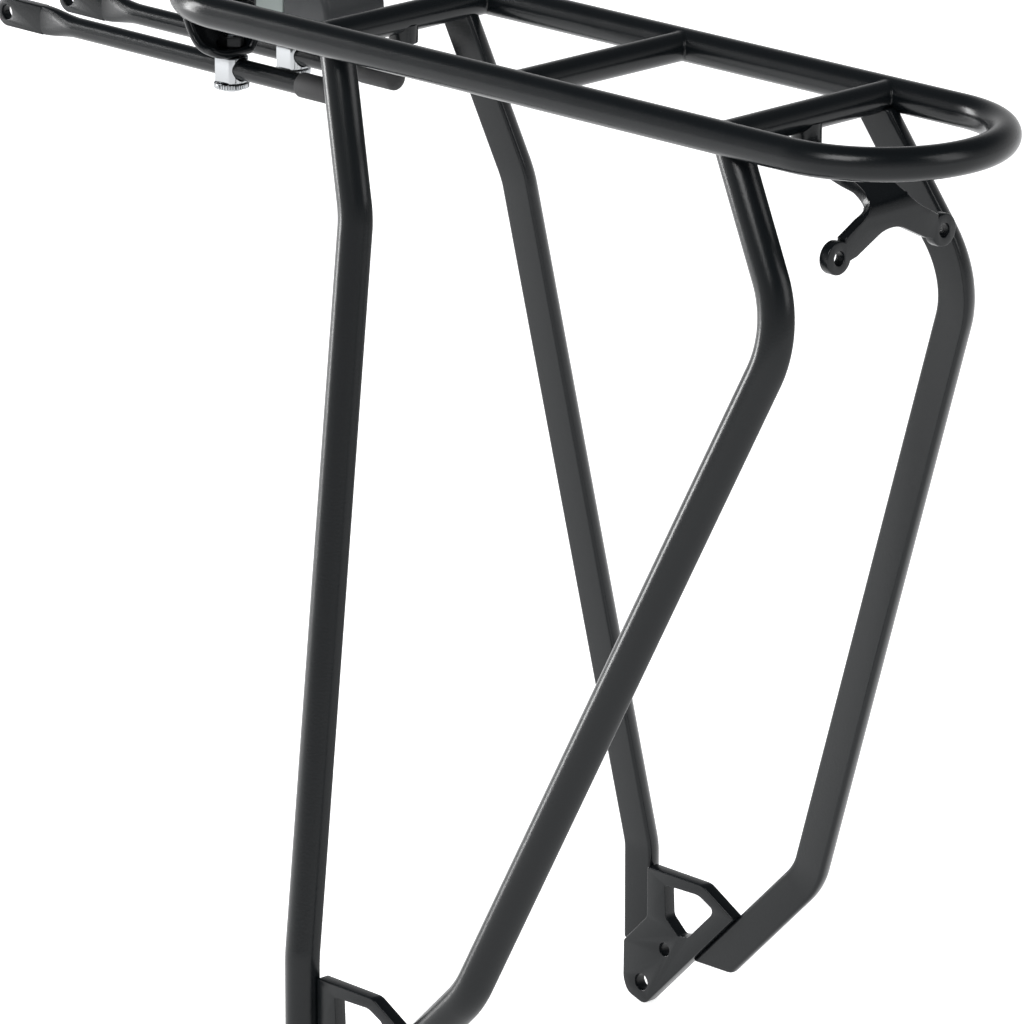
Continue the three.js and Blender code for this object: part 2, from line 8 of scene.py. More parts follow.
import bmesh
import bpy
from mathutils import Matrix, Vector
from mathutils.geometry import tessellate_polygon


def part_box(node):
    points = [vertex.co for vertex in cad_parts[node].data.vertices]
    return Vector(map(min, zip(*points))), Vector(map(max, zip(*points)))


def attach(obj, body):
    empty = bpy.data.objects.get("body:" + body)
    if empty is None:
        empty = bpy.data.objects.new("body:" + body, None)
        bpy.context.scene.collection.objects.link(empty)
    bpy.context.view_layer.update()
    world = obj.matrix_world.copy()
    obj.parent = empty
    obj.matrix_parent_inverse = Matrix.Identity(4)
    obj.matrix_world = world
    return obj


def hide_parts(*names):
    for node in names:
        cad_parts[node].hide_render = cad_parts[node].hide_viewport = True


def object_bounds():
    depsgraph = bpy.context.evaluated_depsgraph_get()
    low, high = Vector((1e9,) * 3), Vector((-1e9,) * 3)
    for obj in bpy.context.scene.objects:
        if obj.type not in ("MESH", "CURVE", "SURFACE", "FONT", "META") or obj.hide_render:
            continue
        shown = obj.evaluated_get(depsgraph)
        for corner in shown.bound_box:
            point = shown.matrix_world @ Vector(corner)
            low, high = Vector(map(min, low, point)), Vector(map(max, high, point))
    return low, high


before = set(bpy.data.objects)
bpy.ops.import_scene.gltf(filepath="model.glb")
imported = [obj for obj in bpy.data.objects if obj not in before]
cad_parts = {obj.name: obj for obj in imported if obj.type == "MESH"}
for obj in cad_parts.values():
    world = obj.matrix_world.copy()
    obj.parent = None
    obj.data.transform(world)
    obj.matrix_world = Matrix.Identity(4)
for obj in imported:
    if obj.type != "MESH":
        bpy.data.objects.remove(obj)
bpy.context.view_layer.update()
MM = 0.001

# ---- dimensions -----------------------------------------------------------

RAIL_Z = 360.4
RAIL_Y = 40.8
RAIL_R = 5.65
LOOP_REAR_X = -181.3
LOOP_FRONT_X = 88.7
CROSSBAR_R = 5.1
CROSSBAR_X = {"front": 39.2, "middle": -55.3, "rear": -149.8}

LEG_WIDTH = 13.5
LEG_DEPTH = 8.5
LEG_CORNER = 1.5
LEG_TOP_Z = 357.6
LEG_BEND_R = 35
LEG_FOOT_BEND_R = 30
FRONT_LEG = [(42.9, 25.8, 360.1), (22.6, 36.0, 300.9), (4.6, 80.5, 49.8), (4.6, 80.5, 13.8)]
REAR_LEG = [(-147.0, 31.0, 360.1), (-181.4, 40.1, 302.6), (-77.2, 80.5, 58.2), (-27.2, 80.5, 8.2)]
REAR_LEG_END_Z = 13.6

FOOT_T = 5
FOOT_INNER_Y = 78.2
FOOT_OUTLINE = [
    (-2.6, 44.4, 1), (-30.2, 44.0, 1.8), (-45.1, 35.35, 1.0), (-1.4, -8.35, 2.5),
    (7.2, -5.4, 2.4), (9.2, -0.5, 1.6), (9.0, 13.8, 1), (-2.6, 25.6, 1),
]
FOOT_WINDOW = [
    (-11.4, 39.6, 0.9), (-28.0, 39.9, 1.8), (-34.8, 36.4, 1.2), (-34.4, 34.2, 1),
    (-23.2, 23.0, 1.2), (-18.0, 22.0, 1.2), (-11.9, 27.6, 1.2),
]
FOOT_HOLE_R = 3.1
FOOT_UPPER_HOLE = (-11.4, 15.3)
FOOT_UPPER_HOLE_R = 2.5

BOSS_R = 5.1
BOSS_BORE_R = 2.8
BOSS_BOTTOM_Z = {"front": 351.9, "rear": 349.2}

LAMP_T = 4
LAMP_FACE_X = -188.4
LAMP_FACE_MID = LAMP_FACE_X + LAMP_T / 2
LAMP_HOLE_Y = 25
LAMP_HOLE_Z = 324.4
LAMP_HOLE_R = 2.45
LAMP_EYE_R = 5.6
LAMP_TAB_Z = 346.9
LAMP_TAB_BOTTOM = LAMP_TAB_Z - LAMP_T / 2
LAMP_TAB_X = 9.8
LAMP_TAB_R = 9
LAMP_PATH = [
    (CROSSBAR_X["rear"] + LAMP_TAB_X, 0, LAMP_TAB_Z), (-166.0, 0, LAMP_TAB_Z), (-178.5, 0, 343.0),
    (LAMP_FACE_MID, 0, 337.5), (LAMP_FACE_MID, 0, 300),
]
LAMP_BEND_R = (6, 6, 5)
LAMP_SHOULDER_Z = 337.2
LAMP_ARM_TOP_Z = 330.4
LAMP_ARM_LOW_Z = 323.4
LAMP_FORK_Z = 329.9
WASHER_R = 5
WASHER_T = 1
SEAT_GAP = 0.1

SHEET_T = 3
SHEET_REAR_X = 104.5
SHEET_HALF_WIDTH = 29
SHEET_FOOT_Z = 339.3
SHEET_ARCH_Z = 350.2
SHEET_ARCH_HALF_WIDTH = 10
SHEET_ARCH_RAMP = 7
SHEET_WING_Y = 19.5
SHEET_WING_RISE = 3
SHEET_DISH_POWER = 3.2
SHEET_RIM_Z = RAIL_Z - RAIL_R - SHEET_T / 2 - 0.35
SHEET_LENGTH_STEPS = 36
SHEET_WIDTH_STEPS = 112
TONGUE_REAR_X = 61
TONGUE_HALF_WIDTH = 8
TONGUE_T = 2.6
NUT_SEAT_DEPTH = 0.2
NUT_SEAT_R = 5.3
NUT_R = 4.6
NUT_H = 3.6
DRILL_LOW_Z = 330

STAY_Y = 14.6
STAY_Z = 333.2
STAY_R = 3.65
STAY_REAR_X = 58.4
STAY_ROUND_END_X = 189
STAY_FLAT_START_X = 207
STAY_HOLE_X = 225.6
STAY_HOLE_R = 2.7
STAY_FLAT_T = 4
STAY_FLAT_H = 10.4
CAP_R = 4.4
CAP_X = (56.2, 74.2)
CAP_DOME = 2.6
EYE_X = 110
EYE_R = 5.8
EYE_HALF_FLATS = 4.6
EYE_Z = (328, 337.5)
EYE_BORE_R = 3.8
EYE_BORE_REACH = 7
STUD_R = 2.5
STUD_TOP_Z = 345.2
RIM_R = 6.0
RIM_T = 1.7
RIM_TEETH = 36
RIM_TOOTH_DEPTH = 0.22
RIM_HOLE_R = 1.9
RIM_BELOW_EYE = 1.9
SCREW_HEAD_R = 4.2
SCREW_HEAD_H = 2
SCREW_HEAD_BELOW_EYE = 2.8
SCREW_SOCKET_R = 1.8

BLOCK_X = (62, 100)
BLOCK_Z = (352, 371)
BLOCK_HALF_WIDTH = 14
BLOCK_SLOPE_LENGTH = 6
BLOCK_SLOPE_START = 10
POCKET_X = (84, 98)
POCKET_Z = (355, 368)
INLAY_GAP = 0.3

# Screws as (head radius, head height, socket radius, shank radius, shank length).
LAMP_BOLT = (4.4, 2.8, 1.8, STUD_R, 8)
BLOCK_SCREW = (3.1, 2, 1.1, 1.5, 8)

# ---- camera ---------------------------------------------------------------

CAMERA_AZIMUTH = 225.31
CAMERA_ELEVATION = 17.12
CAMERA_LENS = 285.86
CAMERA_PLACE = (-1905.8, 1872.7, 1015.95)
CAMERA_SHIFT = (0.00155, -0.00095)


def make_camera():
    data = bpy.data.cameras.new("camera")
    data.lens = CAMERA_LENS
    data.sensor_width = 36
    data.shift_x, data.shift_y = CAMERA_SHIFT
    data.clip_end = 30
    camera = bpy.data.objects.new("camera", data)
    bpy.context.scene.collection.objects.link(camera)
    a, e = math.radians(CAMERA_AZIMUTH), math.radians(CAMERA_ELEVATION)
    back = Vector((math.sin(a) * math.cos(e), -math.cos(a) * math.cos(e), math.sin(e)))
    camera.rotation_mode = "QUATERNION"
    camera.rotation_quaternion = (-back).to_track_quat("-Z", "Y")
    camera.location = Vector(CAMERA_PLACE) * MM
    bpy.context.scene.camera = camera


make_camera()


# ---- materials ------------------------------------------------------------

def new_material(name, color, roughness, metallic=0.0, spread=0.05, grain=900, bump=0.02, specular=0.5):
    """A finish whose roughness varies a little and whose surface has a fine grain."""
    material = bpy.data.materials.new(name)
    material.use_nodes = True
    nodes, links = material.node_tree.nodes, material.node_tree.links
    shader = nodes["Principled BSDF"]
    shader.inputs["Base Color"].default_value = (*color, 1)
    shader.inputs["Metallic"].default_value = metallic
    shader.inputs["Specular IOR Level"].default_value = specular
    place = nodes.new("ShaderNodeTexCoord")
    cloud = nodes.new("ShaderNodeTexNoise")
    cloud.inputs["Scale"].default_value = grain / 12
    cloud.inputs["Detail"].default_value = 4
    links.new(place.outputs["Object"], cloud.inputs["Vector"])
    level = nodes.new("ShaderNodeMapRange")
    level.inputs["To Min"].default_value = roughness - spread
    level.inputs["To Max"].default_value = roughness + spread
    links.new(cloud.outputs["Fac"], level.inputs["Value"])
    links.new(level.outputs["Result"], shader.inputs["Roughness"])
    peel = nodes.new("ShaderNodeTexNoise")
    peel.inputs["Scale"].default_value = grain
    peel.inputs["Detail"].default_value = 3
    links.new(place.outputs["Object"], peel.inputs["Vector"])
    height = nodes.new("ShaderNodeBump")
    height.inputs["Strength"].default_value = bump
    height.inputs["Distance"].default_value = MM
    links.new(peel.outputs["Fac"], height.inputs["Height"])
    links.new(height.outputs["Normal"], shader.inputs["Normal"])
    return material


MATERIALS = {
    "black_coat": new_material("black_coat", (0.0035, 0.0046, 0.0055), 0.24, 0, 0.03, 1100, 0.04, 0.26),
    "black_screw": new_material("black_screw", (0.02, 0.021, 0.022), 0.34, 0.7, 0.06, 1500, 0.02),
    "chrome": new_material("chrome", (0.36, 0.37, 0.38), 0.1, 1, 0.03, 700, 0.01),
    "rubber": new_material("rubber", (0.013, 0.013, 0.014), 0.72, 0, 0.06, 2200, 0.12),
    "moulding": new_material("moulding", (0.014, 0.016, 0.018), 0.5, 0, 0.05, 2000, 0.1),
    "pale_moulding": new_material("pale_moulding", (0.2, 0.23, 0.22), 0.45, 0, 0.04, 1800, 0.04),
}

# ---- mesh helpers ---------------------------------------------------------


def circle(centre, u, v, radius, count):
    """Points round a circle in the plane of the unit vectors u and v."""
    turns = [2 * math.pi * k / count for k in range(count)]
    return [centre + u * (radius * math.cos(t)) + v * (radius * math.sin(t)) for t in turns]


X, Y, Z = Vector((1, 0, 0)), Vector((0, 1, 0)), Vector((0, 0, 1))


def skin(rings, closed=False):
    """A closed mesh through rings of points, capped at both ends unless it closes on itself."""
    bm = bmesh.new()
    loops = [[bm.verts.new(point * MM) for point in ring] for ring in rings]
    count = len(loops[0])
    for i in range(len(loops) if closed else len(loops) - 1):
        a, b = loops[i], loops[(i + 1) % len(loops)]
        for k in range(count):
            n = (k + 1) % count
            bm.faces.new((a[k], a[n], b[n], b[k]))
    if not closed:
        bm.faces.new(loops[0][::-1])
        bm.faces.new(loops[-1])
    return bm


def lathe(profile, origin, axis, count=64, closed=False):
    """A turned piece: profile of (radius, distance along the axis)."""
    u = Y if axis is not Y else Z
    v = axis.cross(u)
    rings = [circle(origin + axis * along, u, v, radius, count) for radius, along in profile]
    return skin(rings, closed)


def rounded(points, steps=8):
    """An outline of (x, y, corner radius), with each corner turned by a smooth curve."""
    outline = []
    for i, (x, y, radius) in enumerate(points):
        corner = Vector((x, y))
        before = Vector(points[i - 1][:2])
        after = Vector(points[(i + 1) % len(points)][:2])
        start = corner + (before - corner).normalized() * radius
        end = corner + (after - corner).normalized() * radius
        for k in range(steps + 1 if radius else 1):
            t = k / steps
            outline.append(start * (1 - t) ** 2 + corner * (2 * t * (1 - t)) + end * t * t)
    return outline


def arc(centre, radius, start, end, steps):
    """Points of an arc, with its angles in degrees."""
    turns = [math.radians(start + (end - start) * k / steps) for k in range(steps + 1)]
    return [Vector((centre[0] + radius * math.cos(t), centre[1] + radius * math.sin(t))) for t in turns]


def ring_hole(centre, radius, count=48):
    return arc(centre, radius, 0, 360, count)[:-1]


def shrunk(outline, distance):
    """The outline moved to its inner side, or to its outer side for a negative distance."""
    area = sum(a.x * b.y - b.x * a.y for a, b in zip(outline, outline[1:] + outline[:1]))
    side = 1 if area > 0 else -1
    moved = []
    for i, point in enumerate(outline):
        before = (point - outline[i - 1]).normalized()
        after = (outline[(i + 1) % len(outline)] - point).normalized()
        inward = Vector((-before.y - after.y, before.x + after.x))
        inward.normalize()
        slant = max(0.5, inward.dot(Vector((-before.y, before.x))))
        moved.append(point + inward * (side * distance / slant))
    return moved


def plate(outer, holes, thickness, edge, hole_edge=0.25, steps=3):
    """A flat plate in the XY plane, from z = 0 up, with rounded edges."""
    bm = bmesh.new()
    caps = {"low": [], "high": []}
    for outline, radius, inner in [(outer, edge, False)] + [(hole, hole_edge, True) for hole in holes]:
        turns = [math.pi / 2 * k / steps for k in range(steps + 1)]
        levels = [(radius * (1 - math.sin(t)), radius * (1 - math.cos(t))) for t in turns]
        levels += [(inset, thickness - z) for inset, z in levels[::-1]]
        loops = []
        for inset, z in levels:
            ring = shrunk(outline, -inset if inner else inset)
            loops.append([bm.verts.new(Vector((p.x, p.y, z)) * MM) for p in ring])
        for a, b in zip(loops, loops[1:]):
            for k in range(len(a)):
                n = (k + 1) % len(a)
                bm.faces.new((a[k], a[n], b[n], b[k]))
        caps["low"].append(loops[0])
        caps["high"].append(loops[-1])
    for loops in caps.values():
        flat = [vert for loop in loops for vert in loop]
        for triangle in tessellate_polygon([[vert.co for vert in loop] for loop in loops]):
            bm.faces.new([flat[k] for k in triangle])
    return bm


def reshape(bm, where):
    """Moves every point to where(x, y, z), in millimetres."""
    for vert in bm.verts:
        vert.co = Vector(where(*(vert.co / MM))) * MM
    return bm


def mirrored(bm):
    copy = bm.copy()
    return reshape(copy, lambda x, y, z: (x, -y, z))


def piece(name, bm, body, slot, nodes=(), sharp=32):
    """Turns a mesh into a piece of the object that rides on a body."""
    bmesh.ops.remove_doubles(bm, verts=bm.verts, dist=1e-7)
    bmesh.ops.recalc_face_normals(bm, faces=bm.faces)
    mesh = bpy.data.meshes.new(name)
    bm.to_mesh(mesh)
    bm.free()
    if not mesh.polygons:
        raise ValueError(f"{name} has no faces")
    mesh.shade_smooth()
    mesh.set_sharp_from_angle(angle=math.radians(sharp))
    mesh.materials.append(MATERIALS[slot])
    obj = bpy.data.objects.new(name, mesh)
    bpy.context.scene.collection.objects.link(obj)
    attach(obj, body)
    if nodes:
        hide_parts(*nodes)
    return obj


def pair(name, bm, bodies, slot, node=None, sharp=32):
    """The left piece and its mirror image on the right."""
    copy = mirrored(bm)
    for side, mesh, body in (("left", bm, bodies[0]), ("right", copy, bodies[1])):
        nodes = [f"{node}_{side}"] if node else []
        piece(f"{name}_{side}", mesh, body, slot, nodes, sharp)


def cut(solid, tool):
    """The solid with the tool's shape taken out of it."""
    objects = []
    for bm in (solid, tool):
        bmesh.ops.recalc_face_normals(bm, faces=bm.faces)
        mesh = bpy.data.meshes.new("cut")
        bm.to_mesh(mesh)
        bm.free()
        objects.append(bpy.data.objects.new("cut", mesh))
        bpy.context.scene.collection.objects.link(objects[-1])
    body, cutter = objects
    modifier = body.modifiers.new("cut", "BOOLEAN")
    modifier.operation = "DIFFERENCE"
    modifier.solver = "MANIFOLD"
    modifier.object = cutter
    evaluated = body.evaluated_get(bpy.context.evaluated_depsgraph_get())
    result = bmesh.new()
    result.from_mesh(evaluated.to_mesh())
    evaluated.to_mesh_clear()
    for obj in objects:
        bpy.data.objects.remove(obj)
    return result


RACK = ("rack", "rack")
EYES = ("eye_left", "eye_right")
STAYS = ("stay_left", "stay_right")

# ---- platform -------------------------------------------------------------


def loop_rings(bend_steps=64, count=64):
    """Rings round the platform's tube: two half circles, joined by the straight rails."""
    rings = []
    for centre_x, start in ((LOOP_FRONT_X, -90), (LOOP_REAR_X, 90)):
        for k in range(bend_steps + 1):
            t = math.radians(start + 180 * k / bend_steps)
            outward = Vector((math.cos(t), math.sin(t), 0))
            centre = Vector((centre_x, 0, RAIL_Z)) + outward * RAIL_Y
            rings.append(circle(centre, outward, Z, RAIL_R, count))
    return rings


def on_rail(x, radius, turn):
    """The point of the left rail's inner side at a radius and turn round the axis of a crossbar at x."""
    height = radius * math.sin(turn)
    y = RAIL_Y - math.sqrt(RAIL_R ** 2 - height ** 2)
    return Vector((x + radius * math.cos(turn), y, RAIL_Z + height))


def saddle(x, reach=1.0, count=96, steps=6):
    """The fillet where a crossbar meets the left rail."""
    rings = []
    for k in range(count):
        t = 2 * math.pi * k / count
        corner = on_rail(x, CROSSBAR_R, t)
        on_bar = corner - Y * reach
        off_bar = on_rail(x, min(CROSSBAR_R + reach, RAIL_R - 0.05), t)
        inside = on_rail(x, CROSSBAR_R - 0.8, t) + Y
        curve = []
        for i in range(steps + 1):
            s = i / steps
            curve.append(on_bar * (1 - s) ** 2 + corner * (2 * s * (1 - s)) + off_bar * s * s)
        rings.append([*curve, inside])
    return skin(rings, closed=True)


piece("platform_loop_tube", skin(loop_rings(), closed=True), "rack", "black_coat", ["platform_loop"])
for name, x in CROSSBAR_X.items():
    reach = RAIL_Y - 3
    bar = lathe([(CROSSBAR_R, -reach), (CROSSBAR_R, reach)], Vector((x, 0, RAIL_Z)), Y)
    piece(f"crossbar_{name}_tube", bar, "rack", "black_coat", [f"crossbar_{name}"])
    pair(f"crossbar_{name}_fillet", saddle(x), RACK, "black_coat", sharp=60)

# ---- legs -----------------------------------------------------------------


def leg_section(steps=36, corner_steps=6):
    """D-section as (across the leg, away from the wheel)."""
    half = LEG_WIDTH / 2
    corner = [(half - LEG_CORNER, 0), (half, 0), (half, LEG_CORNER)]
    points = [Vector(corner[0]) * (1 - t) ** 2 + Vector(corner[1]) * (2 * t * (1 - t))
              + Vector(corner[2]) * t * t for t in (k / corner_steps for k in range(corner_steps))]
    for k in range(steps + 1):
        t = math.pi * k / steps
        height = LEG_CORNER + (LEG_DEPTH - LEG_CORNER) * math.sin(t)
        points.append(Vector((half * math.cos(t), height)))
    points += [Vector((-p.x, p.y)) for p in points[corner_steps - 1::-1]]
    return points


def bent_path(corners, radii, steps=20):
    """Stations along a polyline whose corners are rounded, as (point, direction)."""
    points = [Vector(c) for c in corners]
    ways = [(b - a).normalized() for a, b in zip(points, points[1:])]
    stations = [(points[0], ways[0])]
    for corner, before, after, radius in zip(points[1:], ways, ways[1:], radii):
        angle = before.angle(after)
        inward = (after - before * math.cos(angle)).normalized()
        start = corner - before * (radius * math.tan(angle / 2))
        for k in range(steps + 1):
            t = angle * k / steps
            at = start + before * (radius * math.sin(t)) + inward * (radius * (1 - math.cos(t)))
            stations.append((at, before * math.cos(t) + inward * math.sin(t)))
    stations.append((points[-1], ways[-1]))
    return stations


def leg(corners, end_height):
    """A leg from the platform down to the height end_height(x)."""
    section = leg_section()
    stations = bent_path(corners, (LEG_BEND_R, LEG_FOOT_BEND_R))
    rings = []
    for at, along in stations:
        away = (Y - along * along.y).normalized()
        across = away.cross(along)
        rings.append([at + across * p.x + away * p.y for p in section])
    first, last = stations[0][1], stations[-1][1]
    rings[0] = [p + first * ((LEG_TOP_Z - p.z) / first.z) for p in rings[0]]
    rings[-1] = [p + last * ((end_height(p.x) - p.z) / last.z) for p in rings[-1]]
    return rounded_ends(rings, first, last)


def rounded_ends(rings, first, last, radius=0.8, steps=4):
    """Softens the edges of both ends of a skin."""
    turns = [math.pi / 2 * k / steps for k in range(steps + 1)]
    start, end = [], []
    for t in turns:
        back, inset = radius * (1 - math.sin(t)), radius * (1 - math.cos(t))
        for into, ring, way in ((start, rings[0], first), (end, rings[-1], -last)):
            middle = sum(ring, Vector()) / len(ring)
            into.append([p + way * back + (middle - p).normalized() * inset for p in ring])
    return skin([*start[::-1], *rings[1:-1], *end])


def shoulder(x):
    """Height of the cut at the foot of a front leg."""
    low, high = FOOT_OUTLINE[6][:2], FOOT_OUTLINE[7][:2]
    t = min(max((x - high[0]) / (low[0] - high[0]), 0), 1)
    return high[1] + (low[1] - high[1]) * t - 0.3


pair("leg_front_bar", leg(FRONT_LEG, shoulder), RACK, "black_coat", "leg_front", 50)
pair("leg_rear_bar", leg(REAR_LEG, lambda x: REAR_LEG_END_Z), RACK, "black_coat", "leg_rear", 50)

# ---- foot plates ----------------------------------------------------------


def foot_plate():
    """The left foot plate, with its window and two holes."""
    holes = [
        rounded(FOOT_WINDOW),
        ring_hole((0, 0), FOOT_HOLE_R),
        ring_hole(FOOT_UPPER_HOLE, FOOT_UPPER_HOLE_R),
    ]
    bm = plate(rounded(FOOT_OUTLINE), holes, FOOT_T, 0.5)
    return reshape(bm, lambda x, y, z: (x, FOOT_INNER_Y + z, y))


pair("foot_plate_body", foot_plate(), RACK, "black_coat", "foot_plate")

# ---- bosses and lamp bracket ----------------------------------------------

for name, low in BOSS_BOTTOM_Z.items():
    profile = [
        (BOSS_R, RAIL_Z - 2), (BOSS_R, low + 0.4), (BOSS_R - 0.12, low + 0.12), (BOSS_R - 0.4, low),
        (BOSS_BORE_R + 0.3, low), (BOSS_BORE_R, low + 0.3), (BOSS_BORE_R, RAIL_Z - 2),
    ]
    bm = lathe(profile, Vector((CROSSBAR_X[name], 0, 0)), Z, closed=True)
    piece(f"boss_{name}_body", bm, "rack", "black_coat", [f"boss_{name}"])


def lamp_bracket(cuts=64, first_cut=22, cut_step=0.5):
    """The bracket, drawn flat, cut across so that it can bend, and bent along its path."""
    stations = bent_path(LAMP_PATH, LAMP_BEND_R, 10)
    lengths = [0]
    for (a, _), (b, _) in zip(stations, stations[1:]):
        lengths.append(lengths[-1] + (b - a).length)

    def along_face(z):
        """Distance along the bracket of a height on its upright face."""
        return lengths[-2] + stations[-2][0].z - z

    neck = lengths[-2] - 7
    eye = along_face(LAMP_HOLE_Z)
    shoulder_x = along_face(LAMP_SHOULDER_Z)
    arm_top = along_face(LAMP_ARM_TOP_Z)
    arm_low = along_face(LAMP_ARM_LOW_Z)
    fork = along_face(LAMP_FORK_Z)
    half = [
        *rounded([(26, -9.2, 0), (34, -8.9, 0)]),
        *rounded([(34, -8.9, 0), (neck, -7.2, 4), (shoulder_x, -9.8, 0)])[1:-1],
        *rounded([(neck, -7.2, 0), (shoulder_x, -9.8, 2.5), (arm_top, -22.2, 0)])[1:-1],
        Vector((arm_top, -22.2)),
        *arc((eye, -LAMP_HOLE_Y), LAMP_EYE_R, 150, 431.2, 40),
        Vector((arm_low, -16.4)),
        *rounded([(arm_low, -16.4, 0), (fork, -3.6, 3.5), (fork, 3.6, 0)])[1:-1],
    ]
    tab = arc((LAMP_TAB_X, 0), LAMP_TAB_R, 90, 270, 32)
    outline = [*tab, *half, *[Vector((p.x, -p.y)) for p in half[::-1]]]
    holes = [ring_hole((eye, side * LAMP_HOLE_Y), LAMP_HOLE_R) for side in (1, -1)]
    holes.append(ring_hole((LAMP_TAB_X, 0), BOSS_BORE_R))
    bm = plate(outline, holes, LAMP_T, 0.5)
    for k in range(cuts):
        everything = [*bm.verts, *bm.edges, *bm.faces]
        at = Vector((first_cut + cut_step * k, 0, 0)) * MM
        bmesh.ops.bisect_plane(bm, geom=everything, plane_co=at, plane_no=X)

    def bend(x, y, z):
        i = max(k for k in range(len(lengths) - 1) if lengths[k] <= x + 1e-6 or k == 0)
        share = (x - lengths[i]) / (lengths[i + 1] - lengths[i])
        at = stations[i][0].lerp(stations[i + 1][0], share)
        way = stations[i][1].lerp(stations[i + 1][1], share).normalized()
        return at + Y * y + Y.cross(way) * (LAMP_T / 2 - z)

    return reshape(bm, bend)


piece("lamp_bracket_body", lamp_bracket(), "rack", "black_coat", ["lamp_bracket"], 45)


# ---- lamp bracket fasteners -----------------------------------------------


def hexagon(radius):
    return arc((0, 0), radius, 0, 360, 6)[:-1]


def socket_screw(head_r, head_h, socket_r, shank_r, shank_top):
    """A domed screw, head down, with its seat at z = 0 and a hexagon socket below."""
    profile = [(0.05, -head_h)] + [
        (head_r * math.sin(t) ** 0.6, -head_h * math.cos(t) ** 0.8)
        for t in (math.pi / 2 * k / 12 for k in range(1, 12))
    ] + [(head_r, -0.25), (head_r - 0.2, 0), (shank_r, 0), (shank_r, shank_top), (0.05, shank_top)]
    head = lathe(profile, Vector(), Z, 48)
    socket = plate(hexagon(socket_r), [], head_h * 0.7, 0.05)
    return cut(head, reshape(socket, lambda x, y, z: (x, y, z - head_h - 0.1)))


def moved(bm, offset):
    return reshape(bm, lambda x, y, z: (x + offset[0], y + offset[1], z + offset[2]))


washer_z = LAMP_TAB_BOTTOM - SEAT_GAP - WASHER_T
washer = plate(ring_hole((0, 0), WASHER_R, 64), [ring_hole((0, 0), BOSS_BORE_R)], WASHER_T, 0.2)
washer = moved(washer, (CROSSBAR_X["rear"], 0, washer_z))
piece("lamp_bracket_washer_ring", washer, "rack", "black_screw", ["lamp_bracket_washer"])
bolt = moved(socket_screw(*LAMP_BOLT), (CROSSBAR_X["rear"], 0, washer_z - SEAT_GAP))
piece("lamp_bracket_bolt_body", bolt, "rack", "black_screw", ["lamp_bracket_bolt"])

# ---- front plate ----------------------------------------------------------


def smooth(t):
    """A share from 0 to 1 that starts and stops gently."""
    return t * t * (3 - 2 * t)


def sheet_rear_z(y):
    """Height of the sheet's middle along its rear edge: an arch between two feet."""
    side = abs(y)
    if side < SHEET_ARCH_HALF_WIDTH:
        climb = min((SHEET_ARCH_HALF_WIDTH - side) / SHEET_ARCH_RAMP, 1)
        return SHEET_FOOT_Z + (SHEET_ARCH_Z - SHEET_FOOT_Z) * smooth(climb)
    spread = max((side - SHEET_WING_Y) / (SHEET_HALF_WIDTH - SHEET_WING_Y), 0)
    return SHEET_FOOT_Z + SHEET_WING_RISE * spread ** 2


def sheet_middle(x, y):
    """Height of the sheet's middle, which dishes up to the rim under the front bow."""
    front_x = LOOP_FRONT_X + math.sqrt(RAIL_Y ** 2 - y ** 2)
    s = max(0, (x - SHEET_REAR_X) / (front_x - SHEET_REAR_X))
    rear_z = sheet_rear_z(y)
    return rear_z + (SHEET_RIM_Z - rear_z) * s ** SHEET_DISH_POWER


def edge_steps(radius, count=6):
    """Distances from an edge, with the share of the thickness reached at each of them."""
    turns = [math.pi / 2 * (k + 0.4) / count for k in range(count)]
    return [(radius * (1 - math.cos(t)), math.sin(t)) for t in turns]


def sheet_between(tops, bottoms):
    """A closed sheet between two grids of points of the same size."""
    bm = bmesh.new()
    rims = []
    for grid in (tops, bottoms):
        rows = [[bm.verts.new(point * MM) for point in row] for row in grid]
        for a, b in zip(rows, rows[1:]):
            for k in range(len(a) - 1):
                bm.faces.new((a[k], a[k + 1], b[k + 1], b[k]))
        ends = [row[-1] for row in rows[1:]]
        starts = [row[0] for row in rows[-2:0:-1]]
        rims.append([*rows[0], *ends, *rows[-1][-2::-1], *starts])
    a, b = rims
    for k in range(len(a)):
        n = (k + 1) % len(a)
        bm.faces.new((a[k], a[n], b[n], b[k]))
    return bm


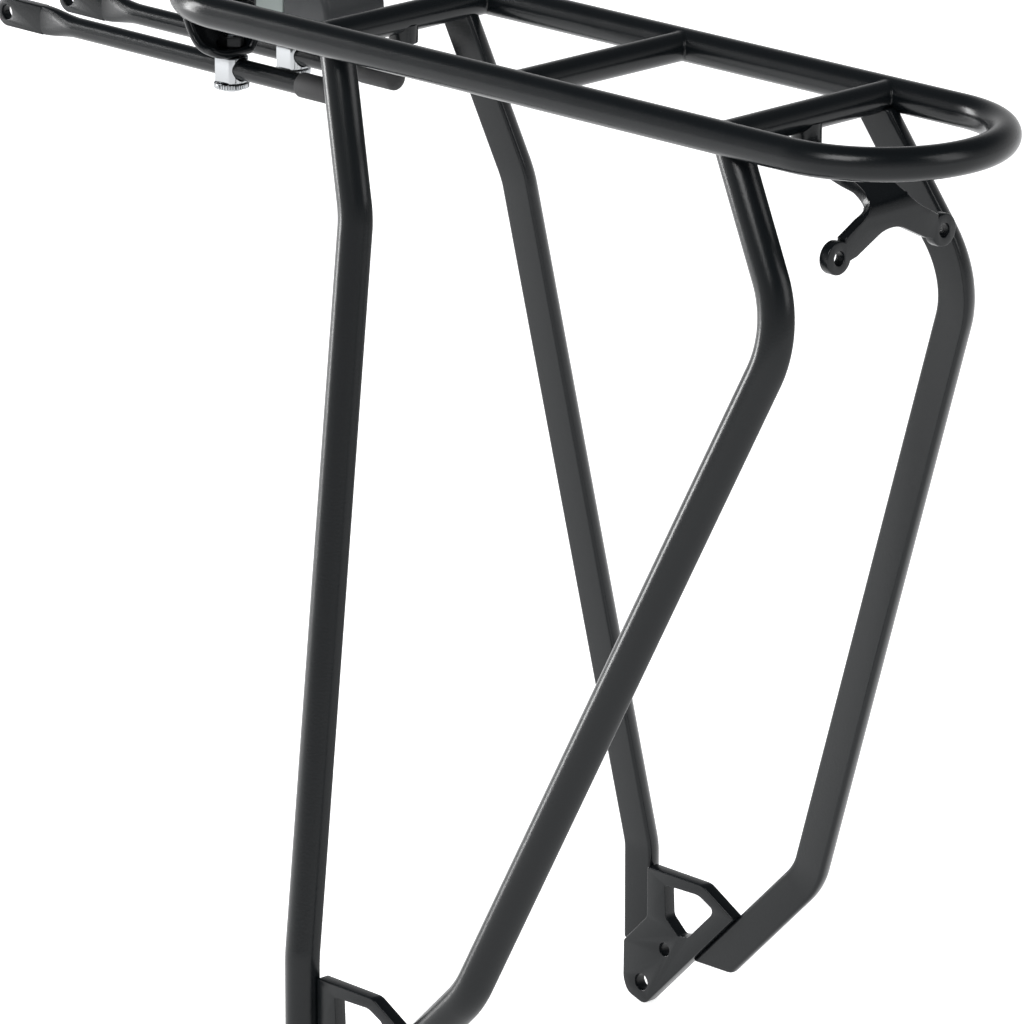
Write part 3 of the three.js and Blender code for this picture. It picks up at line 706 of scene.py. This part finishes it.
def front_sheet():
    """The dished sheet, with rounded rear and side edges and a drilled seat for each eye."""
    half = SHEET_T / 2
    edge = edge_steps(half)
    span = SHEET_HALF_WIDTH - half
    sides = [(-SHEET_HALF_WIDTH + inset, share) for inset, share in edge]
    sides += [(-span + 2 * span * k / SHEET_WIDTH_STEPS, 1) for k in range(SHEET_WIDTH_STEPS + 1)]
    sides += [(SHEET_HALF_WIDTH - inset, share) for inset, share in edge[::-1]]
    tops, bottoms = [], []
    for y, side in sides:
        front_x = LOOP_FRONT_X + math.sqrt(RAIL_Y ** 2 - y ** 2)
        start = SHEET_REAR_X + half
        step = (front_x - start) / SHEET_LENGTH_STEPS
        steps = [(SHEET_REAR_X + inset, share) for inset, share in edge]
        steps += [(start + step * k, 1) for k in range(SHEET_LENGTH_STEPS + 1)]
        upper, lower = [], []
        for x, share in steps:
            middle = Vector((x, y, sheet_middle(x, y)))
            slope_x = (sheet_middle(x + 0.1, y) - sheet_middle(x, y)) / 0.1
            slope_y = (sheet_middle(x, y + 0.05) - sheet_middle(x, y - 0.05)) / 0.1
            normal = Vector((-slope_x, -slope_y, 1)).normalized()
            upper.append(middle + normal * (half * share * side))
            lower.append(middle - normal * (half * share * side))
        tops.append(upper)
        bottoms.append(lower)
    sheet = sheet_between(tops, bottoms)
    seat = SHEET_FOOT_Z + half - NUT_SEAT_DEPTH
    for y in (STAY_Y, -STAY_Y):
        at = Vector((EYE_X, y, 0))
        sheet = cut(sheet, lathe([(STUD_R + 0.3, DRILL_LOW_Z), (STUD_R + 0.3, seat + 1)], at, Z, 48))
        sheet = cut(sheet, lathe([(NUT_SEAT_R, seat), (NUT_SEAT_R, seat + 12)], at, Z, 64))
    return sheet


piece("front_plate_sheet", front_sheet(), "rack", "black_coat", ["front_plate"], 50)
tongue_front_x = SHEET_REAR_X + 4
tongue_outline = rounded([
    (TONGUE_REAR_X, -TONGUE_HALF_WIDTH, 2), (tongue_front_x, -TONGUE_HALF_WIDTH, 0),
    (tongue_front_x, TONGUE_HALF_WIDTH, 0), (TONGUE_REAR_X, TONGUE_HALF_WIDTH, 2),
])
tongue = moved(plate(tongue_outline, [], TONGUE_T, 0.5), (0, 0, SHEET_ARCH_Z - TONGUE_T / 2))
piece("front_plate_tongue", tongue, "rack", "black_coat")

# ---- centre block ---------------------------------------------------------

block_outline = rounded([
    (BLOCK_X[0], BLOCK_Z[0], 4), (BLOCK_X[1], BLOCK_Z[0], 3), (BLOCK_X[1], BLOCK_Z[1], 4),
    (BLOCK_X[0] + BLOCK_SLOPE_LENGTH, BLOCK_Z[1], 5), (BLOCK_X[0], BLOCK_Z[0] + BLOCK_SLOPE_START, 4),
], 12)


def across(bm, half_width):
    """Stands a plate up so that its thickness runs across the rack."""
    return reshape(bm, lambda x, y, z: (x, z - half_width, y))


pocket = rounded([
    (POCKET_X[0], POCKET_Z[0], 1), (POCKET_X[1], POCKET_Z[0], 1),
    (POCKET_X[1], POCKET_Z[1], 1), (POCKET_X[0], POCKET_Z[1], 1),
])
block = plate(block_outline, [pocket], 2 * BLOCK_HALF_WIDTH, 2.2, 0.4, 6)
piece("centre_block_body", across(block, BLOCK_HALF_WIDTH), "rack", "moulding", ["centre_block"])
inlay_half_width = BLOCK_HALF_WIDTH + INLAY_GAP
inlay = plate(shrunk(pocket, INLAY_GAP), [], 2 * inlay_half_width, 0.4)
inlay = across(inlay, inlay_half_width)
piece("centre_block_inlay_bar", inlay, "rack", "pale_moulding", ["centre_block_inlay"])
for name in ("rear", "front"):
    node = f"centre_block_screw_{name}"
    low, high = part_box(node)
    middle_x = (low.x + high.x) / 2 / MM
    seat_z = SHEET_ARCH_Z - TONGUE_T / 2 - SEAT_GAP
    screw = moved(socket_screw(*BLOCK_SCREW), (middle_x, 0, seat_z))
    piece(f"{node}_body", screw, "rack", "black_screw", [node])

# ---- stays ----------------------------------------------------------------


def stay_rod(count=64, steps=24):
    """The round rod, which flattens smoothly towards its front end."""
    stations = [(STAY_REAR_X, 0)]
    for k in range(steps + 1):
        x = STAY_ROUND_END_X + (STAY_FLAT_START_X - STAY_ROUND_END_X) * k / steps
        stations.append((x, smooth(k / steps)))
    stations.append((STAY_FLAT_START_X + 3, 1))
    rings = []
    for x, flat in stations:
        half_y = STAY_R + (STAY_FLAT_T / 2 - STAY_R) * flat
        half_z = STAY_R + (STAY_FLAT_H / 2 - STAY_R) * flat
        power = 1 - 0.6 * flat
        ring = []
        for k in range(count):
            t = 2 * math.pi * k / count
            y = half_y * math.copysign(abs(math.cos(t)) ** power, math.cos(t))
            z = half_z * math.copysign(abs(math.sin(t)) ** power, math.sin(t))
            ring.append(Vector((x, STAY_Y + y, STAY_Z + z)))
        rings.append(ring)
    return skin(rings)


def stay_end():
    """The flat, drilled front end of a stay."""
    outline = [
        Vector((STAY_FLAT_START_X, -STAY_FLAT_H / 2)),
        *arc((STAY_HOLE_X, 0), STAY_FLAT_H / 2, -90, 90, 32),
        Vector((STAY_FLAT_START_X, STAY_FLAT_H / 2)),
    ]
    bm = plate(outline, [ring_hole((STAY_HOLE_X, 0), STAY_HOLE_R)], STAY_FLAT_T, 0.6)
    return reshape(bm, lambda x, y, z: (x, STAY_Y - STAY_FLAT_T / 2 + z, STAY_Z + y))


def stay_cap():
    """The domed cap over the rear end of a stay."""
    rear, front = CAP_X
    bore = STAY_R + 0.02
    turns = [math.pi / 2 * k / 12 for k in range(1, 13)]
    dome = [(CAP_R * math.sin(t), rear + CAP_DOME * (1 - math.cos(t))) for t in turns]
    profile = [*dome, (CAP_R, front - 0.4), (CAP_R - 0.12, front - 0.12), (CAP_R - 0.35, front),
               (bore, front), (bore, STAY_REAR_X - 0.3), (0.3, STAY_REAR_X - 0.3)]
    return lathe(profile, Vector((0, STAY_Y, STAY_Z)), X)


pair("stay_rod", stay_rod(), STAYS, "black_coat", "stay")
pair("stay_end", stay_end(), STAYS, "black_coat")
pair("stay_cap_body", stay_cap(), STAYS, "rubber", "stay_cap")

# ---- eyes -----------------------------------------------------------------


def stay_eye():
    """A barrel with two flats, bored for the stay."""
    low, high = EYE_Z
    turn = math.degrees(math.asin(EYE_HALF_FLATS / EYE_R))
    outline = [*arc((0, 0), EYE_R, -turn, turn, 20), *arc((0, 0), EYE_R, 180 - turn, 180 + turn, 20)]
    barrel = moved(plate(outline, [], high - low, 0.7, steps=5), (EYE_X, STAY_Y, low))
    reach = EYE_BORE_REACH
    profile = [
        (EYE_BORE_R + 1.2, -reach), (EYE_BORE_R + 0.1, -reach + 1.9), (EYE_BORE_R, -reach + 2.2),
        (EYE_BORE_R, reach - 2.2), (EYE_BORE_R + 0.1, reach - 1.9), (EYE_BORE_R + 1.2, reach),
    ]
    return cut(barrel, lathe(profile, Vector((EYE_X, STAY_Y, STAY_Z)), X))


def eye_stud(chamfer=0.4):
    """The stud on top of the barrel."""
    profile = [
        (STUD_R, EYE_Z[1] - 0.3), (STUD_R, STUD_TOP_Z - chamfer), (STUD_R - chamfer, STUD_TOP_Z),
    ]
    return lathe(profile, Vector((EYE_X, STAY_Y, 0)), Z, 40)


def eye_screw():
    """The serrated rim of the clamping screw."""
    outline = []
    count = 4 * RIM_TEETH
    for k in range(count):
        t = 2 * math.pi * k / count
        radius = RIM_R + (RIM_TOOTH_DEPTH if k % 4 in (0, 1) else -RIM_TOOTH_DEPTH)
        outline.append(Vector((radius * math.cos(t), radius * math.sin(t))))
    rim = plate(outline, [ring_hole((0, 0), RIM_HOLE_R, 6)], RIM_T, 0.1)
    return moved(rim, (EYE_X, STAY_Y, EYE_Z[0] - RIM_BELOW_EYE))


def eye_screw_head():
    """The clamping screw's head, with a hexagon socket from below."""
    profile = [(SCREW_HEAD_R - 0.5, 0), (SCREW_HEAD_R, 0.4), (SCREW_HEAD_R, SCREW_HEAD_H)]
    socket = plate(hexagon(SCREW_SOCKET_R), [], 1.8, 0.05)
    head = cut(lathe(profile, Vector(), Z, 56), moved(socket, (0, 0, -0.1)))
    return moved(head, (EYE_X, STAY_Y, EYE_Z[0] - SCREW_HEAD_BELOW_EYE))


def eye_nut():
    """The nut that holds an eye's stud, on top of the front sheet."""
    nut = plate(hexagon(NUT_R), [ring_hole((0, 0), STUD_R + 0.2)], NUT_H, 0.35)
    return moved(nut, (EYE_X, STAY_Y, SHEET_FOOT_Z + SHEET_T / 2 + SEAT_GAP))


pair("stay_eye_barrel", stay_eye(), EYES, "chrome", "stay_eye")
pair("stay_eye_stud", eye_stud(), EYES, "chrome")
pair("eye_screw_rim", eye_screw(), EYES, "chrome", "eye_screw")
pair("eye_screw_head", eye_screw_head(), EYES, "chrome")
pair("eye_nut_body", eye_nut(), RACK, "black_screw", "eye_nut")

# ---- studio ---------------------------------------------------------------


def make_floor():
    low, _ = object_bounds()
    bm = bmesh.new()
    half = 8.0
    corners = [(-half, -half), (half, -half), (half, half), (-half, half)]
    bm.faces.new([bm.verts.new((x, y, low.z)) for x, y in corners])
    mesh = bpy.data.meshes.new("floor")
    bm.to_mesh(mesh)
    bm.free()
    material = bpy.data.materials.new("floor")
    material.use_nodes = True
    shader = material.node_tree.nodes["Principled BSDF"]
    shader.inputs["Base Color"].default_value = (0.92, 0.92, 0.92, 1)
    shader.inputs["Roughness"].default_value = 0.9
    shader.inputs["Specular IOR Level"].default_value = 0.1
    shader.inputs["Emission Color"].default_value = (1, 1, 1, 1)
    shader.inputs["Emission Strength"].default_value = 0.8
    mesh.materials.append(material)
    floor = bpy.data.objects.new("floor", mesh)
    bpy.context.scene.collection.objects.link(floor)


def make_world():
    """A studio that is bright round the horizon and dimmer overhead."""
    world = bpy.data.worlds.new("studio")
    bpy.context.scene.world = world
    world.use_nodes = True
    nodes, links = world.node_tree.nodes, world.node_tree.links
    place = nodes.new("ShaderNodeTexCoord")
    split = nodes.new("ShaderNodeSeparateXYZ")
    ramp = nodes.new("ShaderNodeValToRGB")
    ramp.color_ramp.elements[0].position = 0.05
    ramp.color_ramp.elements[0].color = (1, 1, 1, 1)
    ramp.color_ramp.elements[1].position = 0.55
    ramp.color_ramp.elements[1].color = (0.13, 0.14, 0.15, 1)
    links.new(place.outputs["Generated"], split.inputs["Vector"])
    links.new(split.outputs["Z"], ramp.inputs["Fac"])
    links.new(ramp.outputs["Color"], nodes["Background"].inputs["Color"])
    nodes["Background"].inputs["Strength"].default_value = 0.95


def area_light(name, place, target, size, power):
    data = bpy.data.lights.new(name, "AREA")
    data.shape = "RECTANGLE"
    data.size, data.size_y = size
    data.energy = power
    light = bpy.data.objects.new(name, data)
    bpy.context.scene.collection.objects.link(light)
    light.location = Vector(place)
    light.rotation_mode = "QUATERNION"
    light.rotation_quaternion = (Vector(target) - light.location).to_track_quat("-Z", "Y")


make_floor()
make_world()
area_light("key", (-0.4, 1.9, 2.3), (0, 0, 0.2), (1.2, 1.2), 40)
area_light("fill", (-2.2, -0.6, 1.6), (0, 0, 0.2), (1.0, 1.6), 16)
area_light("edge", (2.2, 0.9, 0.7), (0, 0, 0.2), (0.5, 1.6), 50)
bpy.context.scene.view_settings.view_transform = "Standard"
